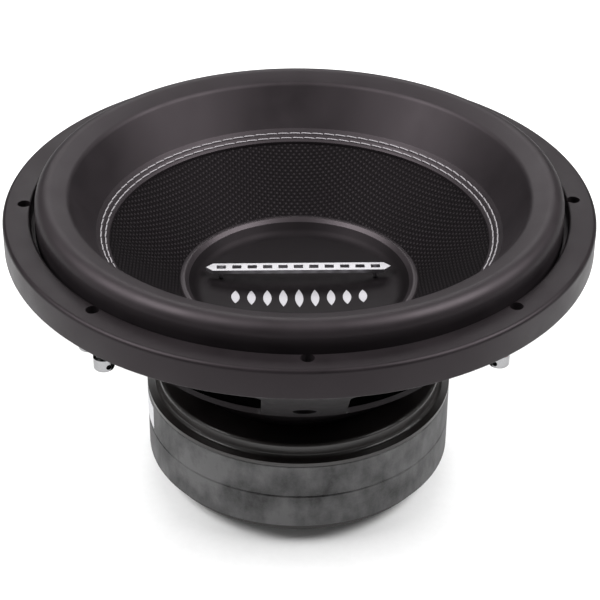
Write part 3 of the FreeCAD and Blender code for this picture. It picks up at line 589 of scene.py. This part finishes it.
# Trim ring, with the bolt holes through it
bolt_places = []
for bolt in range(BOLT_COUNT):
    place = around_axis(360 * bolt / BOLT_COUNT, BOLT_CIRCLE_RADIUS, 0.0)
    bolt_places.append((place.x, place.y))
ring_outline = rounded_line(
    [
        (RING_INNER_RADIUS, RING_POCKET_TOP, 0.3),
        (RING_POCKET_RADIUS, RING_POCKET_TOP, 0.3),
        (RING_POCKET_RADIUS, FLANGE_TOP, 0.3),
        (FLANGE_RADIUS, FLANGE_TOP, 0.3),
        (FLANGE_RADIUS, RING_SKIRT_BOTTOM, 0.5),
        (RING_OUTER_RADIUS, RING_SKIRT_BOTTOM, 0.8),
        (RING_OUTER_RADIUS, RING_TOP, RING_OUTER_ROUNDING),
        (RING_INNER_RADIUS, RING_TOP, RING_INNER_ROUNDING),
    ],
    closed=True,
)
ring = mesh_object("trim_ring_skin", *lathe(ring_outline, RING_SEGMENTS), look_named("trim_rubber"))
drill(ring, BOLT_HOLE_RADIUS, bolt_places)
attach(ring, "frame")
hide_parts("trim_ring")

# Surround, with holes at the bolt places


def ledge_height(radius):
    """The height of the ledge's top face at a radius."""
    slope = (SURROUND_KNEE[1] - LEDGE_EDGE[1]) / (SURROUND_KNEE[0] - LEDGE_EDGE[0])
    return LEDGE_EDGE[1] + slope * (radius - LEDGE_EDGE[0])


ledge_grooves = []
for seam_radius, _ in SEAMS.values():
    for offset, depth, rounding in (
        (GROOVE_HALF_WIDTH, 0.0, GROOVE_EDGE_ROUNDING),
        (0.0, GROOVE_DEPTH, GROOVE_ROUNDING),
        (-GROOVE_HALF_WIDTH, 0.0, GROOVE_EDGE_ROUNDING),
    ):
        radius = seam_radius + offset
        ledge_grooves.append((radius, ledge_height(radius) - depth, rounding))
foot_top = SURROUND_FOOT_BOTTOM + SURROUND_SKIN
surround_outline = rounded_line(
    [
        (SURROUND_FOOT_RADIUS, SURROUND_FOOT_BOTTOM, 0.2),
        (SURROUND_FOOT_RADIUS, foot_top, 0.4),
        (SURROUND_WALL_RADIUS, foot_top, 0.8),
        (*SURROUND_OUTER_CORNER, 7.0),
        (*SURROUND_INNER_CORNER, 5.3),
        (*SURROUND_KNEE, 1.0),
        *ledge_grooves,
        (*LEDGE_EDGE, 0.5),
        (*LEDGE_BACK_EDGE, 0.1),
        (*SURROUND_BACK_KNEE, 2.0),
        (*SURROUND_BACK_INNER_CORNER, 3.5),
        (*SURROUND_BACK_OUTER_CORNER, 5.2),
        (SURROUND_WALL_RADIUS - SURROUND_SKIN, SURROUND_FOOT_BOTTOM, 0.2),
    ],
    closed=True,
)
surround_mesh = lathe(surround_outline, RING_SEGMENTS)
surround = mesh_object("surround_skin", *surround_mesh, look_named("surround_rubber"))
drill(surround, SURROUND_HOLE_RADIUS, bolt_places)
bend(
    surround,
    lambda points: (SURROUND_WALL_RADIUS - 1 - from_centre(points))
    / (SURROUND_WALL_RADIUS - 1 - SURROUND_BACK_KNEE[0]),
)
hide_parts("surround")

# Seam threads: separate stitches that rise out of the ledge and dive back into it
random.seed(12)
for seam, (seam_radius, stitch_count) in SEAMS.items():
    stitches = []
    slope_angle = math.atan2(SURROUND_KNEE[1] - LEDGE_EDGE[1], SURROUND_KNEE[0] - LEDGE_EDGE[0])
    pitch = 2 * math.pi / stitch_count
    for stitch in range(stitch_count):
        span = pitch * random.uniform(*STITCH_SPAN)
        slant = random.uniform(*STITCH_SLANT)
        middle = pitch * (stitch + random.uniform(-STITCH_WANDER, STITCH_WANDER))
        line = []
        for step in range(STITCH_STEPS + 1):
            share = step / STITCH_STEPS * 2 - 1
            lift = STITCH_RISE - STITCH_DIVE * abs(share) ** 7
            radius = seam_radius + slant * share - lift * math.sin(slope_angle)
            height = ledge_height(seam_radius + slant * share) - GROOVE_DEPTH + lift * math.cos(slope_angle)
            angle = middle + share * span / 2
            line.append(Vector((radius * math.cos(angle), radius * math.sin(angle), height)))
        stitches.append(tube_along(line, THREAD_RADIUS, 12, lobes=2, lobe_depth=0.13, twist=1.9))
    thread = mesh_object(f"{seam}_stitches", *many(stitches), look_named("thread"), smooth_angle=70.0)
    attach(thread, "cone_assembly")
    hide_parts(f"{seam}_seam_thread")

# Cone: woven skin with real relief on the face that shows, smooth paper behind
face_line = evenly_spaced(
    [Vector(CONE_RIM), Vector(CONE_AT_LEDGE), Vector(CONE_BEND)],
    WEAVE_ROW_SPACING,
)
cone_outline = (
    face_line
    + [Vector(CONE_NECK), Vector((CONE_NECK[0], CONE_NECK[1] - CONE_WALL))]
    + [Vector((CONE_BEND[0], CONE_BEND[1] - CONE_WALL)), Vector((CONE_RIM[0], CONE_RIM[1] - CONE_WALL))]
)


def weave_relief(x, y):
    """How far the yarns stand below their crowns, on the rows between the dust cap and the ledge."""
    step = math.pi / WEAVE_PITCH
    wave = np.abs(np.sin(x * step) * np.sin(y * step))
    reach = np.hypot(x, y)
    open_face = (reach > CONE_BEND[0] + 0.2) & (reach < LEDGE_EDGE[0] + 0.3)
    front = np.zeros(len(cone_outline), bool)
    front[: len(face_line)] = True
    return np.where(open_face & front[:, None], (wave - 1) * WEAVE_RELIEF, 0.0)


cone_mesh = lathe(cone_outline, WEAVE_SEGMENTS, weave_relief)
cone = mesh_object("cone_skin", *cone_mesh, look_named("cone_weave"), smooth_angle=60.0)
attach(cone, "cone_assembly")
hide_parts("cone")

# Dust cap: a satin rim round a darker, duller dish
cap_face = rounded_line(
    [
        (0.0, -41.2, 0.0),
        (32.0, -40.2, 160.0),
        (56.0, -37.5, 9.0),
        (60.6, -31.6, 2.6),
        (63.2, -29.3, 1.6),
        (65.4, -29.7, 1.0),
        (66.0, -30.46, 0.0),
    ],
    step=4.0,
)
cap_back = rounded_line(
    [(65.7, -30.66, 0.0), (56.6, -38.3, 2.0), (32.0, -41.4, 160.0), (0.0, -42.4, 0.0)],
    step=4.0,
)
cap = mesh_object("dust_cap_shell", *lathe(cap_face + cap_back, ROUND_SEGMENTS), look_named("cap_rim"))
cap.data.materials.append(look_named("cap_dish"))
CAP_RIM_INNER_RADIUS = 61.4
for polygon in cap.data.polygons:
    reach = math.hypot(polygon.center.x, polygon.center.y) / MM
    if reach < CAP_RIM_INNER_RADIUS:
        polygon.material_index = 1
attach(cap, "cone_assembly")
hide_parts("dust_cap")

# Generic printed mark on the dish: a row of upright lens shapes, tallest in the middle
MARK_CENTRE_Y = -6.3
MARK_PITCH = 8.8
MARK_LIFT = 0.12
dish_radii = [point[0] for point in cap_face]
dish_heights = [point[1] for point in cap_face]


def dish_height(x, y):
    """The height of the dish's face at a place on it."""
    return float(np.interp(math.hypot(x, y), dish_radii, dish_heights))


def lens(centre_x, height, width):
    """A thin upright lens that follows the dish."""
    points = []
    faces = []
    rows = 20
    columns = 4
    for row in range(rows + 1):
        along = row / rows * 2 - 1
        half = width / 2 * max(1 - along * along, 0.01)
        for column in range(columns + 1):
            x = centre_x + half * (column / columns * 2 - 1)
            y = MARK_CENTRE_Y + along * height / 2
            for lift in (MARK_LIFT, -MARK_LIFT):
                points.append((x, y, dish_height(x, y) + lift))
    width_count = (columns + 1) * 2
    for row in range(rows):
        for column in range(columns):
            for layer in (0, 1):
                here = row * width_count + column * 2 + layer
                faces.append((here, here + 2, here + 2 + width_count, here + width_count))
        for edge in (0, columns * 2):
            here = row * width_count + edge
            faces.append((here, here + 1, here + 1 + width_count, here + width_count))
    for edge in (0, rows * width_count):
        for column in range(columns):
            here = edge + column * 2
            faces.append((here, here + 1, here + 3, here + 2))
    return points, faces


marks = [lens(MARK_PITCH * place, 18.5 - 1.4 * abs(place), 4.6) for place in range(-4, 5)]
printed = mesh_object("printed_row", *many(marks), look_named("printed_silver"))
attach(printed, "cone_assembly")

# Spider: rounded corrugations between a collar on the coil former and a landing glued to the seat
wave_pitch = (SPIDER_LANDING_RADIUS - SPIDER_COLLAR_RADIUS) / SPIDER_WAVES
cloth_line = [(SPIDER_INNER_RADIUS, SPIDER_HEIGHT, 0.0), (SPIDER_COLLAR_RADIUS, SPIDER_HEIGHT, 1.0)]
for wave in range(SPIDER_WAVES):
    start = SPIDER_COLLAR_RADIUS + wave_pitch * wave
    cloth_line.append((start + wave_pitch * 0.25, SPIDER_HEIGHT - SPIDER_WAVE_HEIGHT, 1.5))
    cloth_line.append((start + wave_pitch * 0.75, SPIDER_HEIGHT + SPIDER_WAVE_HEIGHT, 1.5))
cloth_line.append((SPIDER_LANDING_RADIUS, SPIDER_HEIGHT, 1.0))
cloth_line.append((SPIDER_OUTER_RADIUS, SPIDER_HEIGHT, 0.0))
cloth_middle = rounded_line(cloth_line, step=15.0)
half_cloth = Vector((0.0, SPIDER_CLOTH / 2))
spider_outline = [point + half_cloth for point in cloth_middle]
spider_outline += [point - half_cloth for point in reversed(cloth_middle)]
spider = mesh_object("spider_cloth", *lathe(spider_outline, ROUND_SEGMENTS), look_named("spider_cloth"))
bend(
    spider,
    lambda points: (SPIDER_LANDING_RADIUS - from_centre(points))
    / (SPIDER_LANDING_RADIUS - SPIDER_COLLAR_RADIUS),
)
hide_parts("spider")


def lead_line():
    """The (distance from the centre line, height) points of a lead: a hanging arc, then a level run."""
    points = []
    arc_steps = 90
    for arc_step in range(arc_steps + 1):
        angle = math.radians(LEAD_ARC_ANGLE) * (1 - arc_step / arc_steps)
        points.append(
            (
                LEAD_FLAT_DISTANCE + LEAD_ARC_RADIUS * math.sin(angle),
                LEAD_HEIGHT + LEAD_ARC_RADIUS * (1 - math.cos(angle)),
            )
        )
    points.append((LEAD_END_DISTANCE, LEAD_HEIGHT))
    return points


# Tinsel leads and push springs
for side, block_azimuth in TERMINAL_SIDES.items():
    for colour, step in TERMINAL_POSTS.items():
        name = f"{side}_{colour}"
        azimuth = block_azimuth + step
        route = [around_axis(azimuth, out, up) for out, up in lead_line()]
        fine_route = evenly_spaced(route, BRAID_POINT_SPACING)
        lead = mesh_object(
            f"lead_{name}_braid",
            *tube_along(fine_route, BRAID_RADIUS, 16, lobes=4, lobe_depth=0.1, twist=1.3),
            look_named("tinsel"),
            smooth_angle=70.0,
        )
        bend(
            lead,
            lambda points: (LEAD_STILL_RADIUS - from_centre(points))
            / (LEAD_STILL_RADIUS - LEAD_MOVING_RADIUS),
        )
        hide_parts(f"lead_{name}")

        coil = []
        coil_steps = SPRING_TURNS * SPRING_STEPS_PER_TURN
        for turn_step in range(coil_steps + 1):
            angle = 2 * math.pi * SPRING_TURNS * turn_step / coil_steps
            coil.append(
                around_axis(
                    azimuth,
                    POST_CIRCLE_RADIUS + SPRING_RADIUS * math.cos(angle),
                    SPRING_TOP + (SPRING_BOTTOM - SPRING_TOP) * turn_step / coil_steps,
                    sideways=SPRING_RADIUS * math.sin(angle),
                )
            )
        spring = mesh_object(
            f"push_spring_{name}_coil", *tube_along(coil, SPRING_WIRE_RADIUS, 8), look_named("spring_steel")
        )
        bend(
            spring,
            lambda points: (SPRING_TOP - points[:, 2]) / (SPRING_TOP - SPRING_BOTTOM),
        )
        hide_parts(f"push_spring_{name}")

# Floor, light and camera
FLOOR_HEIGHT = -0.151
floor_mesh = bpy.data.meshes.new("floor")
FLOOR_REACH = 6.0
floor_mesh.from_pydata(
    [
        (-FLOOR_REACH, -FLOOR_REACH, FLOOR_HEIGHT),
        (FLOOR_REACH, -FLOOR_REACH, FLOOR_HEIGHT),
        (FLOOR_REACH, FLOOR_REACH, FLOOR_HEIGHT),
        (-FLOOR_REACH, FLOOR_REACH, FLOOR_HEIGHT),
    ],
    [],
    [(0, 1, 2, 3)],
)
floor_look = grainy((0.88, 0.88, 0.88), (0.92, 0.92, 0.92), (0.8, 0.9), 3.0, 0.0, specular=0.1)
floor_look.shader.inputs["Emission Color"].default_value = (1.0, 1.0, 1.0, 1.0)
floor_look.shader.inputs["Emission Strength"].default_value = 0.04
floor_mesh.materials.append(floor_look.material)
floor = bpy.data.objects.new("floor", floor_mesh)
bpy.context.scene.collection.objects.link(floor)


def softbox(name, azimuth, elevation, distance, width, height, power):
    """A rectangular soft light that faces the object from an azimuth counted from the front."""
    light = bpy.data.lights.new(name, "AREA")
    light.shape = "RECTANGLE"
    light.size = width
    light.size_y = height
    light.energy = power
    lamp = bpy.data.objects.new(name, light)
    around = math.radians(azimuth)
    above = math.radians(elevation)
    back = Vector(
        (
            math.sin(around) * math.cos(above),
            -math.cos(around) * math.cos(above),
            math.sin(above),
        )
    )
    lamp.location = back * distance
    lamp.rotation_euler = back.to_track_quat("Z", "Y").to_euler()
    bpy.context.scene.collection.objects.link(lamp)


# Each light's azimuth and elevation in degrees, distance, width and height in metres, and power in watts
LIGHTS = {
    "left_light": (-80.0, 50.0, 1.8, 1.0, 1.0, 46.0),
    "right_light": (80.0, 50.0, 1.8, 1.0, 1.0, 47.0),
    "back_light": (180.0, 35.0, 1.8, 1.4, 0.8, 11.0),
    "low_light": (-80.0, 14.0, 1.6, 0.8, 1.0, 1.5),
}
for light_name, light_values in LIGHTS.items():
    softbox(light_name, *light_values)

world = bpy.data.worlds.new("studio")
world.use_nodes = True
background = world.node_tree.nodes["Background"]
background.inputs["Color"].default_value = (1.0, 1.0, 1.0, 1.0)
background.inputs["Strength"].default_value = 0.04
bpy.context.scene.world = world
bpy.context.scene.view_settings.view_transform = "Standard"

CAMERA_TARGET = Vector((0.0, 0.0, -0.04603))
CAMERA_DISTANCE = 1.07462
CAMERA_ELEVATION = 32.894
CAMERA_AZIMUTH = -1.676
CAMERA_ROLL = 0.4287
CAMERA_SENSOR_WIDTH = 36.0
CAMERA_FOCAL_LENGTH = 115.88
CAMERA_SHIFT = 0.00183
camera_data = bpy.data.cameras.new("camera")
camera_data.sensor_width = CAMERA_SENSOR_WIDTH
camera_data.lens = CAMERA_FOCAL_LENGTH
camera_data.shift_x = CAMERA_SHIFT
camera = bpy.data.objects.new("camera", camera_data)
around = math.radians(CAMERA_AZIMUTH)
above = math.radians(CAMERA_ELEVATION)
back = Vector((math.sin(around) * math.cos(above), -math.cos(around) * math.cos(above), math.sin(above)))
camera.location = CAMERA_TARGET + back * CAMERA_DISTANCE
camera.rotation_mode = "QUATERNION"
roll = Matrix.Rotation(math.radians(CAMERA_ROLL), 3, "Z").to_quaternion()
camera.rotation_quaternion = back.to_track_quat("Z", "Y") @ roll
bpy.context.scene.collection.objects.link(camera)
bpy.context.scene.camera = camera
